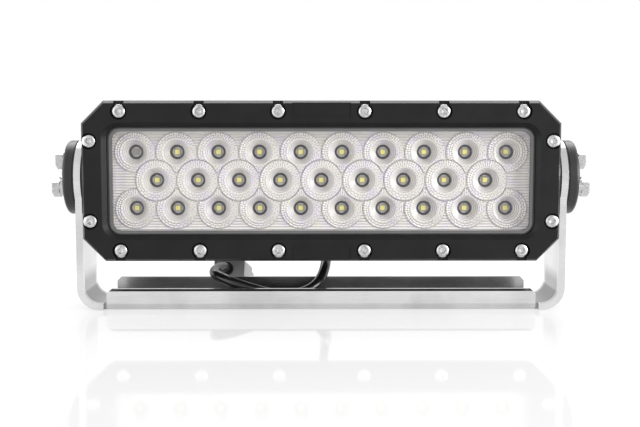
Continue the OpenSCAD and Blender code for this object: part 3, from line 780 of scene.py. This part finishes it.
def add_button_head(bm, x, z, turn):
    """Domed head with a hexagon socket, seat on the pocket floor, and its shank."""
    angles = round_angles(HEAD_COLUMNS)

    def ring(radii, depth):
        return [
            bm.verts.new((x + radius * math.cos(angle + turn), SEAT + depth,
                          HEAD_Z + z + radius * math.sin(angle + turn)))
            for angle, radius in zip(angles, radii)
        ]

    hexagon = [hex_radius(angle, SOCKET_FLATS) for angle in angles]
    rings = [ring([radius * MM] * HEAD_COLUMNS, y * MM) for radius, y in HEAD_OUTLINE]
    rings += [ring([share * radius for radius in hexagon], y * MM) for share, y in SOCKET_OUTLINE]
    for i, (ring_a, ring_b) in enumerate(zip(rings, rings[1:])):
        bridge(bm, ring_a, ring_b, smooth=i in SMOOTH_ROWS)
    bm.faces.new(rings[0])
    tip = bm.verts.new((x, SEAT + SOCKET_FLOOR, HEAD_Z + z))
    last = rings[-1]
    for k in range(HEAD_COLUMNS):
        bm.faces.new((last[k], last[(k + 1) % HEAD_COLUMNS], tip))


def make_bezel_screws():
    """The sixteen screws, each turned differently."""
    bm = bmesh.new()
    for i, (x, z) in enumerate(SCREW_PLACES):
        add_button_head(bm, x, z, turn=0.7 * i)
    new_piece("bezel_screw_set", bm, "light_head", [SCREW_STEEL],
              replaced=["bezel_screws"])


make_bezel_screws()


# ---------- softened edges ----------

def soften_nodes():
    """Rounds the larger CAD nodes' edges, each by a width that suits it."""
    for name in ("bezel", "housing", "bracket", "rear_cover", "connector_body", "connector_cable_seal"):
        soften(name, 0.35 * MM)
    for side in ("left", "right"):
        soften(f"pivot_bolts_{side}", 0.25 * MM)
        soften(f"flat_washers_{side}", 0.2 * MM)
        soften(f"spring_washers_{side}", 0.2 * MM)


soften_nodes()


# ---------- floor and light ----------

FLOOR_R = 2.2
FLOOR_SIDES = 96
FADE_START = 0.25
FADE_END = 0.9
FRONT_LIGHT = 0.80
SIDE_LIGHT = 1.3


def floor_look():
    """Pale glossy floor, part of its brightness its own, that fades out with distance."""
    look = Look("floor", Roughness=0.05, Specular_IOR_Level=0.12, Emission_Strength=0.52)
    look.set(Base_Color=(*grey(0.28), 1), Emission_Color=(1, 1, 1, 1))
    fade = look.range(look.distance((0, 0, 0)), 0.0, 1.0, FADE_START, FADE_END, smooth=True)
    clear = look.node("BsdfTransparent")
    mix = look.node("MixShader", Fac=fade)
    look.tree.links.new(look.bsdf.outputs[0], mix.inputs[1])
    look.tree.links.new(clear.outputs[0], mix.inputs[2])
    look.tree.links.new(mix.outputs[0], look.tree.nodes["Material Output"].inputs["Surface"])
    return look.mat


def make_floor():
    """Round floor under the light bar."""
    bm = bmesh.new()
    bmesh.ops.create_circle(bm, cap_ends=True, segments=FLOOR_SIDES, radius=FLOOR_R)
    floor = mesh_object("floor", bm)
    floor.data.materials.append(floor_look())


def area_light(name, location, target, size, power):
    """Rectangular light aimed at a target, not seen by the camera."""
    data = bpy.data.lights.new(name, "AREA")
    data.shape = "RECTANGLE"
    data.size, data.size_y = size
    data.energy = power
    light = link(name, data)
    light.location = location
    light.rotation_euler = (Vector(target) - Vector(location)).to_track_quat("-Z", "Y").to_euler()
    light.visible_camera = False


def light_world(tree):
    """White surroundings for the camera; their light on objects is stronger from the front's sides."""
    background = tree.nodes["Background"]
    background.inputs["Color"].default_value = (1, 1, 1, 1)
    axes = tree.nodes.new("ShaderNodeSeparateXYZ")
    coords = tree.nodes.new("ShaderNodeTexCoord")
    tree.links.new(coords.outputs["Generated"], axes.inputs["Vector"])
    across, depth = axes.outputs["X"], axes.outputs["Y"]
    sideways = math_node(tree, "MULTIPLY", across, across)
    forward = math_node(tree, "SUBTRACT", SIDE_LIGHT, math_node(tree, "MULTIPLY", depth, SIDE_LIGHT))
    strength = math_node(tree, "ADD", FRONT_LIGHT, math_node(tree, "MULTIPLY", sideways, forward))
    seen = tree.nodes.new("ShaderNodeLightPath").outputs["Is Camera Ray"]
    tree.links.new(math_node(tree, "MAXIMUM", strength, seen), background.inputs["Strength"])


def make_light():
    """Surroundings and two soft lights."""
    world = bpy.data.worlds.new("world")
    bpy.context.scene.world = world
    world.use_nodes = True
    light_world(world.node_tree)
    centre = (0, 0, 0.09)
    area_light("top_softbox", (0, 0.62, 0.95), centre, (1.6, 0.7), power=13)
    area_light("right_softbox", (1.2, -0.75, 0.4), centre, (0.7, 0.7), power=14)
    bpy.context.scene.view_settings.view_transform = "Standard"


make_floor()
make_light()
